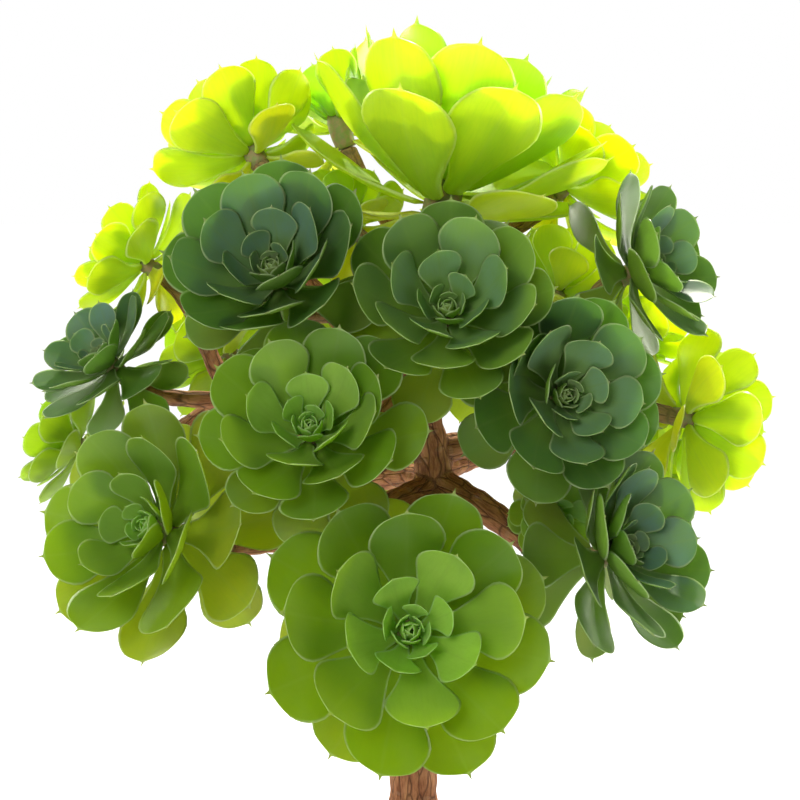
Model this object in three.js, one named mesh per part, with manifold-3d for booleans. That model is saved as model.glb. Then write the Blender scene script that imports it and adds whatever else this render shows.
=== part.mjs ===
// Potted aeonium: a plain round pot, its soil, one branching stem and a head of leaves on every twig.
// Millimetres, +Z up. The origin is the centre of the pot's flat base, and the plant's front faces -Y.

import * as THREE from 'three';
import Module from 'manifold-3d';

const wasm = await Module();
wasm.setup();

// Driving dimensions of the pot and the soil

const SEAT_GAP = 0.3;
const FACET_GAP = 0.12;
const MERGE_SIZE = 0.2;
const POT_HEIGHT = 200;
const POT_RIM_RADIUS = 115;
const POT_BASE_RADIUS = 90;
const POT_WALL = 7;
const POT_FLOOR = 9;
const POT_SIDES = 36;
const RIM_BAND_HEIGHT = 26;
const RIM_BAND_STEP = 4;
const EDGE_ROUND = 2.5;
const SOIL_TOP = 180;
const SOIL_MOUND = 5;
const SOIL_RELIEF = 1.6;
const SOIL_RINGS = 4;

// Driving dimensions of the stem

const TRUNK_FOOT = 125;
const TRUNK_RADIUS = 17;
const TRUNK_STEPS = 8;
const TRUNK_SIDES = 10;
const STEM_SIDES = 5;
const TWIG_REACH_SHARE = 0.075;
const TWIG_RADIUS_BASE = 1.2;
const TWIG_STEPS = 4;
const LIMB_STEPS = 3;
const TWIG_OVERLAP = 1.5;
const TWIG_SWELL = 0.8;
const TWIG_LEAD_SHARE = 0.3;
const TWIG_ARRIVE_SHARE = 0.42;

// The rule for a head: leaves from the oldest, lowest one inwards, a golden angle apart

const GOLDEN_ANGLE = THREE.MathUtils.degToRad(137.508);
const FULL_COUNT = 32;
const SOLID_COUNT = 21;
const NECK_SHARE = 0.15;
const CORE_SHARE = 0.11;
const CORE_TAPER = 0.6;
const HEAD_DEPTH_SHARE = 0.2;
const DEPTH_POWER = 1.6;
const BUD_RADIUS_SHARE = 0.07;
const BUD_RISE_SHARE = 0.08;
const BUD_TIP_SHARE = 0.2;
const LEAF_WIDTH_SHARE = 0.66;
const SLIM_FROM = 70;
const SLIM_POWER = 0.3;
const LEAF_THICK_SHARE = 0.02;
const LEAF_THICK_BASE = 0.5;
const LEAF_THIN_YOUNG = 0.45;
const LEAF_CURL = 0.6;
const LEAF_DISH = 0.12;
const OLDEST_OPEN = 96;
const OPEN_POWER = 1.25;
const DROOP = 10;
const DROOP_FADE = 3;
const YOUNG_MIDDLE = 0.6;
const TALL_MIDDLE = 0.85;
const YOUNG_SPREAD = 0.1;
const LONGEST_SHARE = 0.89;
const SHORTEST_SHARE = 0.12;
const LEAST_OPEN = 4;
const CLEAR_GAP = 1.2;
const GAP_TOLERANCE = 1e-4;
const NEAR_SHARE = 2.2;

// No two leaves are quite alike: how far each may stray in degrees, and in its share of length

const WOBBLE = { open: 3, turn: 4, length: 0.05, roll: 6 };
const WOBBLE_STEPS = { head: 4.1, leaf: 2.3, kind: 1.7 };

// Half widths of a blade along its length, as shares of half its widest, and its keel's depth likewise

const BLADE_ROWS = [
  { along: 0.34, wide: 0.48, deep: 1 },
  { along: 0.77, wide: 1, deep: 0.85 },
  { along: 0.94, wide: 0.7, deep: 0.5 },
];

// Where a leaf would meet a neighbour it closes towards its own axis, and shortens, a step at a time

const BEND_STEPS = [
  { close: 0, length: 1 },
  { close: 6, length: 1 },
  { close: 12, length: 0.94 },
  { close: 16, length: 0.86 },
  { close: 18, length: 0.76 },
  { close: 20, length: 0.64 },
];

// Heads: name, root of the oldest leaf, facing in degrees from the front towards +X and above level,
// reach, turn of the oldest leaf in degrees, sense of the spiral, how far the leaves open, and its limb.
// The top head's inner leaves are tall, so it also has the age at which they shorten

const HEADS = [
  ['low_front', [-4, -150, 404], [5, 19], 84, 16, 1, 0.74, 'front'],
  ['mid_front', [18, -111, 569], [-1, 32], 65, 60, -1, 0.65, 'crown'],
  ['mid_left', [-55, -134, 506], [-6, 38], 66, 0, 1, 0.68, 'shoulder'],
  ['low_left', [-140, -89, 445], [-35, 22], 79, 200, -1, 0.74, 'left'],
  ['high_left', [-75, -92, 587], [-16, 39], 69, 127, 1, 0.62, 'crown'],
  ['mid_right', [78, -103, 526], [18, 11], 64, 250, -1, 0.68, 'shoulder'],
  ['low_right', [108, -96, 434], [45, 23], 68, 310, 1, 0.74, 'right'],
  ['top', [17, -13, 630], [110, 72], 110, 53, -1, 0.66, 'crown', TALL_MIDDLE],
  ['top_left', [-98, 14, 661], [-142, 42], 63, 20, -1, 0.72, 'top_left'],
  ['left', [-182, -17, 532], [-46, 44], 52, 75, 1, 0.84, 'far_left'],
  ['left_high', [-166, 21, 592], [-108, 32], 53, 170, -1, 0.84, 'far_left'],
  ['right_high', [132, -17, 590], [54, 23], 60, 40, 1, 0.73, 'far_right'],
  ['right', [170, 4, 498], [120, -12], 61, 220, -1, 0.80, 'far_right'],
  ['rear_far_left', [-217, 45, 474], [-97, 23], 46, 10, 1, 0.84, 'far_left'],
  ['rear_left', [-103, 133, 448], [-142, 10], 58, 140, -1, 0.85, 'rear_left'],
  ['rear_low', [-20, 143, 412], [-174, 12], 62, 80, 1, 0.8, 'rear_left'],
  ['rear_right', [150, 88, 455], [118, 8], 60, 290, 1, 0.82, 'rear_right'],
  ['rear_mid_right', [60, 132, 522], [158, 26], 62, 30, -1, 0.8, 'rear_right'],
  ['rear_mid', [-34, 132, 548], [-168, 28], 60, 230, -1, 0.8, 'rear_crown'],
  ['rear_mid_left', [-124, 96, 528], [-124, 20], 56, 100, 1, 0.85, 'top_left'],
  ['rear_top', [-46, 56, 676], [-100, 70], 70, 50, 1, 0.62, 'rear_crown'],
  ['rear_high_right', [98, 74, 640], [126, 42], 62, 190, -1, 0.80, 'rear_crown'],
  ['rear_far_right', [136, 60, 545], [114, 30], 54, 330, 1, 0.82, 'far_right'],
  ['under_right', [82, -58, 451], [10, -8], 30, 120, 1, 0.85, 'right'],
  ['rear_inner_right', [92, 30, 574], [148, 34], 48, 260, 1, 0.8, 'far_right'],
  ['rear_inner_left', [-38, 24, 616], [-150, 24], 46, 340, -1, 0.8, 'crown'],
].map(([name, root, facing, reach, turn, hand, open, from, middle = YOUNG_MIDDLE]) => (
  { name, root, facing, reach, turn, hand, open, from, middle }
));

// Limbs of the stem: points along each, from the limb it leaves, and its radius at both ends

const TRUNK = {
  points: [[0, 0, TRUNK_FOOT], [0, 0, 190], [2, 2, 300], [9, 3, 400], [14, 0, 462]],
  radii: [TRUNK_RADIUS, 13],
};
const LIMBS = {
  shoulder: { points: [[14, 0, 452], [12, -2, 478], [6, -6, 505]], radii: [12, 10] },
  crown: { points: [[6, -6, 500], [2, 0, 530], [2, 4, 560]], radii: [10, 8] },
  front: { points: [[13, 0, 450], [10, -30, 436], [4, -66, 410]], radii: [9, 7.5] },
  left: { points: [[13, 0, 455], [-23, -32, 446], [-78, -58, 436]], radii: [9.5, 7.5] },
  right: { points: [[14, 0, 458], [42, -20, 446], [70, -44, 430]], radii: [10, 8] },
  far_left: { points: [[8, 0, 482], [-45, 6, 486], [-104, 10, 506]], radii: [9, 7] },
  far_right: { points: [[10, 0, 478], [48, 14, 484], [88, 16, 512]], radii: [9, 7] },
  top_left: { points: [[4, 2, 525], [-32, 16, 545], [-62, 30, 574]], radii: [8, 6.5] },
  rear_left: { points: [[12, 4, 458], [-8, 50, 452], [-42, 88, 438]], radii: [9, 7.5] },
  rear_right: { points: [[13, 3, 464], [36, 48, 464], [62, 78, 468]], radii: [9, 7.5] },
  rear_crown: { points: [[4, 2, 535], [6, 34, 560], [8, 56, 580]], radii: [8, 7] },
};

// Small helpers

const radians = THREE.MathUtils.degToRad;
const vec = (list) => new THREE.Vector3(...list);

function solidFromArrays(positions, triangles) {
  const mesh = new wasm.Mesh({
    numProp: 3,
    vertProperties: new Float32Array(positions),
    triVerts: new Uint32Array(triangles),
  });
  return new wasm.Manifold(mesh);
}

function geometryFromSolid(solid) {
  const mesh = solid.getMesh();
  const geometry = new THREE.BufferGeometry();
  geometry.setAttribute('position', new THREE.BufferAttribute(new Float32Array(mesh.vertProperties), 3));
  geometry.setIndex(new THREE.BufferAttribute(new Uint32Array(mesh.triVerts), 1));
  geometry.computeVertexNormals();
  return geometry;
}

function latheUp(points, sides) {
  const profile = points.map(([radius, height]) => new THREE.Vector2(radius, height));
  const geometry = new THREE.LatheGeometry(profile, sides);
  geometry.rotateX(Math.PI / 2);
  return geometry;
}

// Pot: a straight tapered pot with a plain rim band, a flat base and a solid floor

function innerPotRadius(height) {
  const share = height / POT_HEIGHT;
  return THREE.MathUtils.lerp(POT_BASE_RADIUS, POT_RIM_RADIUS - RIM_BAND_STEP, share) - POT_WALL;
}

function outerPotRadius(height) {
  return innerPotRadius(height) + POT_WALL;
}

function makePot() {
  const bandFoot = POT_HEIGHT - RIM_BAND_HEIGHT;
  const profile = [
    [0, 0],
    [POT_BASE_RADIUS - EDGE_ROUND, 0],
    [outerPotRadius(EDGE_ROUND), EDGE_ROUND],
    [outerPotRadius(bandFoot), bandFoot],
    [POT_RIM_RADIUS - EDGE_ROUND / 2, bandFoot + EDGE_ROUND / 2],
    [POT_RIM_RADIUS, bandFoot + EDGE_ROUND],
    [POT_RIM_RADIUS, POT_HEIGHT - EDGE_ROUND],
    [POT_RIM_RADIUS - EDGE_ROUND, POT_HEIGHT],
    [innerPotRadius(POT_HEIGHT) + EDGE_ROUND, POT_HEIGHT],
    [innerPotRadius(POT_HEIGHT - EDGE_ROUND), POT_HEIGHT - EDGE_ROUND],
    [innerPotRadius(POT_FLOOR), POT_FLOOR],
    [0, POT_FLOOR],
  ];
  return latheUp(profile, POT_SIDES);
}

// Soil: it fills the pot to just below the rim, humped and crumbly, with a plain hole for the trunk

function soilHeight(share, angle) {
  const mound = SOIL_MOUND * (1 - share * share);
  const crumbs = Math.sin(5 * angle + 9 * share) * Math.cos(3 * angle - 14 * share);
  return SOIL_TOP + mound + SOIL_RELIEF * crumbs * share * (1 - share) * 4;
}

function makeSoil() {
  const holeRadius = TRUNK_RADIUS + SEAT_GAP;
  const holeFloor = TRUNK_FOOT - SEAT_GAP;
  const floor = POT_FLOOR + SEAT_GAP;
  const wallGap = SEAT_GAP + FACET_GAP;
  const profile = [[0, holeFloor], [holeRadius, holeFloor]];
  for (let ring = 0; ring <= SOIL_RINGS; ring += 1) {
    const share = ring / SOIL_RINGS;
    const edge = innerPotRadius(SOIL_TOP) - wallGap;
    profile.push([THREE.MathUtils.lerp(holeRadius, edge, share), SOIL_TOP]);
  }
  profile.push([innerPotRadius(floor) - wallGap, floor], [0, floor]);
  const soil = latheUp(profile.reverse(), POT_SIDES);
  const places = soil.attributes.position;
  const edgeRadius = innerPotRadius(SOIL_TOP) - wallGap;
  for (let index = 0; index < places.count; index += 1) {
    if (Math.abs(places.getZ(index) - SOIL_TOP) < GAP_TOLERANCE) {
      const radius = Math.hypot(places.getX(index), places.getY(index));
      const share = (radius - holeRadius) / (edgeRadius - holeRadius);
      const angle = Math.atan2(places.getY(index), places.getX(index));
      places.setZ(index, soilHeight(share, angle));
    }
  }
  return soil;
}

// Stem: tapered tubes along smooth curves, fused into the one branching piece that grew

function taperedTube(curve, radii, steps, sides) {
  const frames = curve.computeFrenetFrames(steps, false);
  const positions = [];
  const triangles = [];
  for (let step = 0; step <= steps; step += 1) {
    const share = step / steps;
    const centre = curve.getPointAt(share);
    const radius = THREE.MathUtils.lerp(radii[0], radii[1], share);
    for (let side = 0; side < sides; side += 1) {
      const angle = (2 * Math.PI * side) / sides;
      const corner = centre.clone();
      corner.addScaledVector(frames.normals[step], radius * Math.cos(angle));
      corner.addScaledVector(frames.binormals[step], radius * Math.sin(angle));
      positions.push(corner.x, corner.y, corner.z);
    }
  }
  for (let step = 0; step < steps; step += 1) {
    for (let side = 0; side < sides; side += 1) {
      const here = step * sides + side;
      const next = step * sides + ((side + 1) % sides);
      triangles.push(here, next, here + sides, next, next + sides, here + sides);
    }
  }
  const last = steps * sides;
  for (let side = 1; side < sides - 1; side += 1) {
    triangles.push(0, side + 1, side, last, last + side, last + side + 1);
  }
  return solidFromArrays(positions, triangles);
}

function headFrame(head) {
  const turn = radians(head.facing[0]);
  const lift = radians(head.facing[1]);
  const axis = new THREE.Vector3(
    Math.sin(turn) * Math.cos(lift),
    -Math.cos(turn) * Math.cos(lift),
    Math.sin(lift),
  );
  const right = new THREE.Vector3(0, 0, 1).cross(axis).normalize();
  const up = axis.clone().cross(right);
  return { axis, right, up, root: vec(head.root) };
}

const twigRadius = (head) => TWIG_RADIUS_BASE + TWIG_REACH_SHARE * head.reach;

function makeTwig(head) {
  const { axis, root } = headFrame(head);
  const end = root.clone().addScaledVector(axis, -NECK_SHARE * head.reach - SEAT_GAP);
  const limb = LIMBS[head.from];
  const start = vec(limb.points.at(-1));
  const lead = start.clone().sub(vec(limb.points.at(-2))).normalize();
  const span = end.distanceTo(start);
  start.addScaledVector(lead, -TWIG_OVERLAP);
  const bendOut = start.clone().addScaledVector(lead, TWIG_LEAD_SHARE * span);
  const bendIn = end.clone().addScaledVector(axis, -TWIG_ARRIVE_SHARE * span);
  const curve = new THREE.CubicBezierCurve3(start, bendOut, bendIn, end);
  const radius = twigRadius(head);
  const foot = Math.min(radius + TWIG_SWELL, limb.radii[1]);
  return taperedTube(curve, [foot, radius], TWIG_STEPS, STEM_SIDES);
}

function makeStem() {
  const trunkCurve = new THREE.CatmullRomCurve3(TRUNK.points.map(vec));
  const tubes = [taperedTube(trunkCurve, TRUNK.radii, TRUNK_STEPS, TRUNK_SIDES)];
  for (const limb of Object.values(LIMBS)) {
    const limbCurve = new THREE.CatmullRomCurve3(limb.points.map(vec));
    tubes.push(taperedTube(limbCurve, limb.radii, LIMB_STEPS, STEM_SIDES));
  }
  for (const head of HEADS) {
    tubes.push(makeTwig(head));
  }
  return wasm.Manifold.union(tubes).simplify(MERGE_SIZE);
}

// Leaves: how the leaf of one age opens, reaches and stands on its head

const headDepth = (young) => HEAD_DEPTH_SHARE * (1 - Math.pow(1 - young, DEPTH_POWER));

const coreShare = (young) => CORE_SHARE * (1 - CORE_TAPER * Math.max(young, 0) ** 2);

function wobble(head, index, kind) {
  const step = WOBBLE_STEPS.head * HEADS.indexOf(head) + WOBBLE_STEPS.leaf * index;
  return Math.sin(step + WOBBLE_STEPS.kind * kind);
}

// The leaves of a large head are slimmer
const widthShare = (head) => LEAF_WIDTH_SHARE * Math.min(1, (SLIM_FROM / head.reach) ** SLIM_POWER);

function leafAge(head, index) {
  const young = index / (FULL_COUNT - 1);
  const grown = 1 / (1 + Math.exp((young - head.middle) / YOUNG_SPREAD));
  const length = head.reach * THREE.MathUtils.lerp(SHORTEST_SHARE, LONGEST_SHARE, grown);
  const droop = DROOP * Math.exp(-index / DROOP_FADE);
  const opened = OLDEST_OPEN * (1 - Math.pow(young, OPEN_POWER)) * head.open + droop;
  const turned = radians(head.turn + WOBBLE.turn * wobble(head, index, 1));
  return {
    young,
    turn: turned + head.hand * index * GOLDEN_ANGLE,
    open: radians(opened + WOBBLE.open * wobble(head, index, 2)),
    length: length * (1 + WOBBLE.length * wobble(head, index, 3)),
    roll: radians(WOBBLE.roll * wobble(head, index, 4)),
  };
}

// The core that carries the leaves. Its corners follow the leaves' own spiral, so that leaf number n
// grows out of the face between corners n, n + 5 and n + 8, and the one beside it stays bare.

const BESIDE = 3;
const FACE_SIDE = 5;
const FACE_TOP = 8;
const FACE_LAG = (FACE_SIDE + FACE_TOP) / 3;
const FACE_TURN = ((FACE_SIDE + FACE_TOP) * GOLDEN_ANGLE - 10 * Math.PI) / 3;
const ROUND_ORDER = [0, 3, 6, 1, 4, 7, 2, 5];

function coreCorner(head, frame, number) {
  const young = (number - FACE_LAG) / (FULL_COUNT - 1);
  const turn = radians(head.turn) + head.hand * (number * GOLDEN_ANGLE - FACE_TURN);
  const radius = coreShare(young) * head.reach;
  const corner = frame.root.clone().addScaledVector(frame.axis, headDepth(young) * head.reach);
  corner.addScaledVector(frame.right, radius * Math.cos(turn));
  return corner.addScaledVector(frame.up, radius * Math.sin(turn));
}

function makeCore(head, frame) {
  const corners = [];
  const triangles = [];
  const addFace = (a, b, c) => triangles.push(...(head.hand > 0 ? [a, b, c] : [a, c, b]));
  const addOnAxis = (height) => corners.push(frame.root.clone().addScaledVector(frame.axis, height)) - 1;
  for (let number = 0; number < SOLID_COUNT + FACE_TOP; number += 1) {
    corners.push(coreCorner(head, frame, number));
  }
  for (let number = 0; number < SOLID_COUNT; number += 1) {
    addFace(number, number + BESIDE, number + FACE_TOP);
    addFace(number, number + FACE_TOP, number + FACE_SIDE);
  }

  const addRingBeside = (edge, radius, height) => edge.map((number) => {
    const out = corners[number].clone().sub(frame.root);
    out.addScaledVector(frame.axis, -out.dot(frame.axis)).setLength(radius);
    return corners.push(out.add(frame.root).addScaledVector(frame.axis, height)) - 1;
  });
  const joinRings = (lower, upper) => lower.forEach((here, place) => {
    const next = (place + 1) % lower.length;
    addFace(here, lower[next], upper[place]);
    addFace(lower[next], upper[next], upper[place]);
  });
  const closeRing = (ring, tip) => ring.forEach((here, place) => {
    addFace(here, ring[(place + 1) % ring.length], tip);
  });

  const lowEdge = [...ROUND_ORDER];
  const neckEnd = -NECK_SHARE * head.reach;
  const neck = addRingBeside(lowEdge, twigRadius(head), neckEnd);
  joinRings(neck, lowEdge);
  closeRing([...neck].reverse(), addOnAxis(neckEnd));

  const topEdge = ROUND_ORDER.map((step) => SOLID_COUNT + step);
  const shoulder = headDepth(1) * head.reach;
  const budFoot = shoulder + BUD_RISE_SHARE * head.reach;
  const bud = addRingBeside(topEdge, BUD_RADIUS_SHARE * head.reach, budFoot);
  joinRings(topEdge, bud);
  closeRing(bud, addOnAxis(shoulder + BUD_TIP_SHARE * head.reach));
  return solidFromArrays(corners.flatMap((corner) => corner.toArray()), triangles);
}

// A blade grows from its face of the core through rows of left edge, keel and right edge to its tip

function leafCorners(head, frame, index, bend) {
  const leaf = leafAge(head, index);
  const length = leaf.length * bend.length;
  const open = Math.max(leaf.open - radians(bend.close), radians(LEAST_OPEN));
  const first = open + LEAF_CURL / 2;
  const thinned = 1 - LEAF_THIN_YOUNG * leaf.young;
  const thick = (LEAF_THICK_BASE + LEAF_THICK_SHARE * head.reach) * thinned;
  const outwards = frame.right.clone().multiplyScalar(Math.cos(leaf.turn));
  outwards.addScaledVector(frame.up, Math.sin(leaf.turn));
  const across = frame.axis.clone().cross(outwards);
  const foot = frame.root.clone().addScaledVector(frame.axis, headDepth(leaf.young) * head.reach);
  foot.addScaledVector(outwards, coreShare(leaf.young) * head.reach);

  const place = (share, out, rise) => {
    const angle = first - LEAF_CURL * share;
    const normal = frame.axis.clone().multiplyScalar(Math.sin(angle));
    normal.addScaledVector(outwards, -Math.cos(angle));
    const sine = Math.sin(leaf.roll);
    const cosine = Math.cos(leaf.roll);
    const corner = foot.clone();
    corner.addScaledVector(outwards, (length * (Math.cos(angle) - Math.cos(first))) / LEAF_CURL);
    corner.addScaledVector(frame.axis, (length * (Math.sin(first) - Math.sin(angle))) / LEAF_CURL);
    corner.addScaledVector(across, out * cosine - rise * sine);
    return corner.addScaledVector(normal, out * sine + rise * cosine);
  };

  const [low, side, top] = [0, FACE_SIDE, FACE_TOP].map((step) => coreCorner(head, frame, index + step));
  const corners = head.hand > 0 ? [side, low, top] : [top, low, side];
  for (const row of BLADE_ROWS) {
    const half = (row.wide * length * widthShare(head)) / 2;
    const lift = LEAF_DISH * half;
    corners.push(place(row.along, -half, lift));
    corners.push(place(row.along, 0, lift - thick * row.deep));
    corners.push(place(row.along, half, lift));
  }
  return [...corners, place(1, 0, 0)];
}

function bladeSolid(head, frame, index, bend) {
  const corners = leafCorners(head, frame, index, bend);
  const last = 3 * BLADE_ROWS.length;
  const triangles = [2, 1, 0];
  for (let row = 0; row < last; row += 3) {
    for (let side = 0; side < 3; side += 1) {
      const here = row + side;
      const beside = row + ((side + 1) % 3);
      if (head.hand > 0) {
        triangles.push(here, beside, beside + 3, here, beside + 3, here + 3);
      } else {
        triangles.push(here, beside, here + 3, beside, beside + 3, here + 3);
      }
    }
  }
  for (let side = 0; side < 3; side += 1) {
    triangles.push(last + side, last + ((side + 1) % 3), last + 3);
  }
  return solidFromArrays(corners.flatMap((corner) => corner.toArray()), triangles);
}

function clears(blade, obstacles) {
  return obstacles.every((obstacle) => blade.minGap(obstacle, CLEAR_GAP) >= CLEAR_GAP - GAP_TOLERANCE);
}

function makeHead(head, obstacles) {
  const frame = headFrame(head);
  const pieces = [makeCore(head, frame)];
  for (let index = 0; index < SOLID_COUNT; index += 1) {
    for (const bend of BEND_STEPS) {
      const blade = bladeSolid(head, frame, index, bend);
      if (clears(blade, obstacles)) {
        pieces.push(blade);
        break;
      }
    }
  }
  return wasm.Manifold.union(pieces).simplify(MERGE_SIZE);
}

// The plant: heads are made from the front backwards, and each bends clear of those made before it

function addMesh(group, name, geometry, material) {
  const mesh = new THREE.Mesh(geometry, material);
  mesh.name = name;
  group.add(mesh);
}

const potMaterial = new THREE.MeshStandardMaterial({ color: 0xb4633f, roughness: 0.85, metalness: 0 });
const soilMaterial = new THREE.MeshStandardMaterial({ color: 0x3b2c20, roughness: 0.95, metalness: 0 });
const barkMaterial = new THREE.MeshStandardMaterial({ color: 0x8a5a3c, roughness: 0.85, metalness: 0 });
const leafMaterial = new THREE.MeshStandardMaterial({ color: 0x7fa33a, roughness: 0.55, metalness: 0 });

const plant = new THREE.Group();
addMesh(plant, 'pot', makePot(), potMaterial);
addMesh(plant, 'soil', makeSoil(), soilMaterial);

const stem = makeStem();
addMesh(plant, 'stem', geometryFromSolid(stem), barkMaterial);

const made = [];
for (const head of HEADS) {
  const near = made.filter((other) => {
    const apart = vec(other.head.root).distanceTo(vec(head.root));
    return apart < NEAR_SHARE * (other.head.reach + head.reach);
  });
  const solid = makeHead(head, [stem, ...near.map((other) => other.solid)]);
  made.push({ head, solid });
  addMesh(plant, `head_${head.name}`, geometryFromSolid(solid), leafMaterial);
}

export default plant;
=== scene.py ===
"""Looks for the potted aeonium: living leaf heads, scarred bark, crumbly soil and an unglazed clay pot.

Lengths in the tables are millimetres in the part's own frame, as in the solids. MM turns them into metres.
"""

import math
import random
from collections import namedtuple

import bpy
import numpy as np
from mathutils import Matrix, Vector
from mathutils.bvhtree import BVHTree
from mathutils.kdtree import KDTree

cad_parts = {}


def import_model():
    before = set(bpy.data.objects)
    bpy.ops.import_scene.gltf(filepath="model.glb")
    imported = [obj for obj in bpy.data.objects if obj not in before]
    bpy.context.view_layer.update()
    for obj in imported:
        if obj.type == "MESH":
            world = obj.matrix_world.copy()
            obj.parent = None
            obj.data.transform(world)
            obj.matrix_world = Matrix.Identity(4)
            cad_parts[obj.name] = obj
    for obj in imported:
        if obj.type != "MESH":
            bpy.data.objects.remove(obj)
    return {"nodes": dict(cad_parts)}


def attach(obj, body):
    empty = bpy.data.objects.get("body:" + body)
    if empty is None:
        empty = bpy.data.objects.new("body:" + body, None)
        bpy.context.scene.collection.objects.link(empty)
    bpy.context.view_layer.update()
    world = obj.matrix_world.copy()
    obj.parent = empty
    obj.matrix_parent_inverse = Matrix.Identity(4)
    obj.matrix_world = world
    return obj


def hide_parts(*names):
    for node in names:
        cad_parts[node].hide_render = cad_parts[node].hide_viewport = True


MM = 0.001
BODY = "root"

# Camera: the height, distance (in metres) and lens that give the photograph's view of the foliage

CAMERA_TARGET = Vector((-8, 0, 510)) * MM
CAMERA_ELEVATION = math.radians(8)
CAMERA_DISTANCE = 1.0
CAMERA_FIELD = math.radians(28)
SENSOR_WIDTH = 36

# Pot and soil

POT_HEIGHT = 200
POT_RIM_RADIUS = 115
POT_BASE_RADIUS = 90
POT_WALL = 7
POT_FLOOR = 9
RIM_BAND_HEIGHT = 26
RIM_BAND_STEP = 4
EDGE_ROUND = 2.5
EDGE_STEPS = 5
OUTER_SHARES = (0.1, 0.25, 0.4, 0.55, 0.7, 0.85, 1.0)
INNER_HEIGHTS = (190, 180, 120, 60, POT_FLOOR)
POT_SIDES = 160
SOIL_TOP = 180
SOIL_MOUND = 5
SOIL_RELIEF = 1.6
SOIL_GRAIN = 0.9
SOIL_SIDES = 120
SOIL_RINGS = 40
SOIL_SEED = 7
SEAT_GAP = 0.3

# The soil's low waves, by the turn and by the share of the way to the pot's wall, and how its grain fades out

SOIL_WAVES = ((5, 9), (3, -14))
FADE_AT_WALL = 6
FADE_AT_TRUNK = 8
GRAIN_AT_TRUNK = 0.2

# Crumbs on the soil: eight-cornered lumps in two layers, with every corner moved a little

CRUMB_COUNT = 900
CRUMB_SPREAD = (0.02, 0.94)
CRUMB_MARGIN = 3
CRUMB_SIZE = 0.8
CRUMB_GROWTH = 2.4
CRUMB_LIFT = 0.2
CRUMB_LAYERS = (-0.5, 0.45)
CRUMB_TWIST = 0.6
CRUMB_REACH = (0.6, 1.1)
CRUMB_HEIGHT = (0.7, 1.2)

# Colours of the clay, soil, bark and neck. A pair gives a darker and a lighter tone of one kind

CLAY = ((0.3, 0.115, 0.058), (0.36, 0.15, 0.08))
CLAY_GRAIN = (0.42, 0.23, 0.145)
CLAY_BLOOM = (0.5, 0.36, 0.28)
SOIL = ((0.018, 0.011, 0.007), (0.075, 0.045, 0.027))
BARK = ((0.2, 0.07, 0.028), (0.48, 0.2, 0.085))
BARK_BLOTCH = (0.58, 0.28, 0.12)
BARK_SCAR = (0.36, 0.2, 0.11)
BARK_CRACK = (0.07, 0.028, 0.014)
BARK_GREEN = (0.26, 0.24, 0.09)
NECK = ((0.2, 0.24, 0.06), (0.3, 0.2, 0.09))

# Colours of the leaves, and of the light that shines through them

OLD_LEAF = ((0.42, 0.52, 0.03), (0.68, 0.66, 0.05))
GROWN_LEAF = ((0.085, 0.2, 0.018), (0.21, 0.42, 0.024))
# Painted light: inner leaves are pale, and painted lighter still for the light at a head's centre
INNER_LEAF_PAINTED_LIGHTER = ((0.6, 0.9, 0.15), (0.72, 0.98, 0.2))
# Painted shade: leaves of heads in shade, painted bluer and darker
PAINTED_SHADE_LEAF = ((0.085, 0.17, 0.15), (0.16, 0.29, 0.2))
PAINTED_SHADE_INNER = (0.25, 0.46, 0.38)
# Painted light: the bud, pale and painted lighter still
BUD_PAINTED_LIGHTER = (0.88, 1, 0.48)
PATCH = (0.33, 0.52, 0.02)
UPPER_ROOT = (0.4, 0.62, 0.08)
UNDER_ROOT = (0.56, 0.84, 0.06)
# Painted sheen: a pale bluish wash over the outer upper blades
PAINTED_SHEEN = (0.17, 0.32, 0.14)
VEIN = (0.3, 0.44, 0.03)
MIDRIB = (0.36, 0.5, 0.14)
MARGIN = (0.8, 0.98, 0.45)
POINT = (0.5, 0.42, 0.16)
SPECK = (0.32, 0.44, 0.06)
OLD_GLOW = (0.88, 0.86, 0.03)
GROWN_GLOW = (0.87, 0.95, 0.004)
INNER_GLOW = (0.6, 0.88, 0.04)
VEIN_GLOW = (0.5, 0.8, 0.01)
# Painted shade: the dimmer light through the leaves of heads in shade
PAINTED_SHADE_GLOW = (0.2, 0.34, 0.06)

# The share of light that shines through a leaf. Heads in shade get painted shade: a head's pair says how much
# bluer its leaves are painted and how much less light they let through, and the other heads have the open
# sky's.
# An aged head is older than the rest, or younger where its number is below zero

LEAF_GLOW = 0.68
PAINTED_SHADE_HEADS = {
    "low_front": (0, 0.58),
    "mid_front": (0.7, 0.72),
    "mid_left": (0.05, 0.74),
    "low_left": (0.12, 0.58),
    "high_left": (0.9, 0.95),
    "mid_right": (0.75, 0.98),
    "low_right": (1, 0.9),
    "left": (1, 1),
    "right_high": (0.9, 0.9),
    "right": (0.05, 0.12),
    "rear_far_left": (0.1, 0.55),
    "under_right": (0.5, 0.6),
    "rear_left": (0.3, 0.5),
    "rear_low": (0.3, 0.6),
    "rear_right": (0.3, 0.5),
    "rear_mid_right": (0.3, 0.5),
    "rear_mid": (0.3, 0.55),
    "rear_mid_left": (0.3, 0.4),
}
OPEN_SKY = (0.05, 0)
AGED = {"low_left": 0.22, "under_right": -0.1}

# Lights: places and sizes in metres, angles in degrees, powers in watts, the sun's for each square metre

SKY_LIGHT = 0.18
SKY_COLOUR = (0.86, 0.93, 1.0, 1)
SUN_STRENGTH = 4.6
SUN_WIDTH = 2
SUN_WAY = (0.16, 0.67, 0.725)
SUN_COLOUR = (1.0, 0.96, 0.86)
TOP_LIGHT_POWER = 23
TOP_LIGHT_CONE = 14
TOP_LIGHT_EDGE = 0.3
TOP_LIGHT_SIZE = 0.03
TOP_LIGHT_PLACE = (0.08, 0.24, 1.55)
TOP_LIGHT_TARGET = (0.036, -0.004, 0.67)
TOP_LIGHT_COLOUR = (1.0, 0.97, 0.88)

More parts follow.
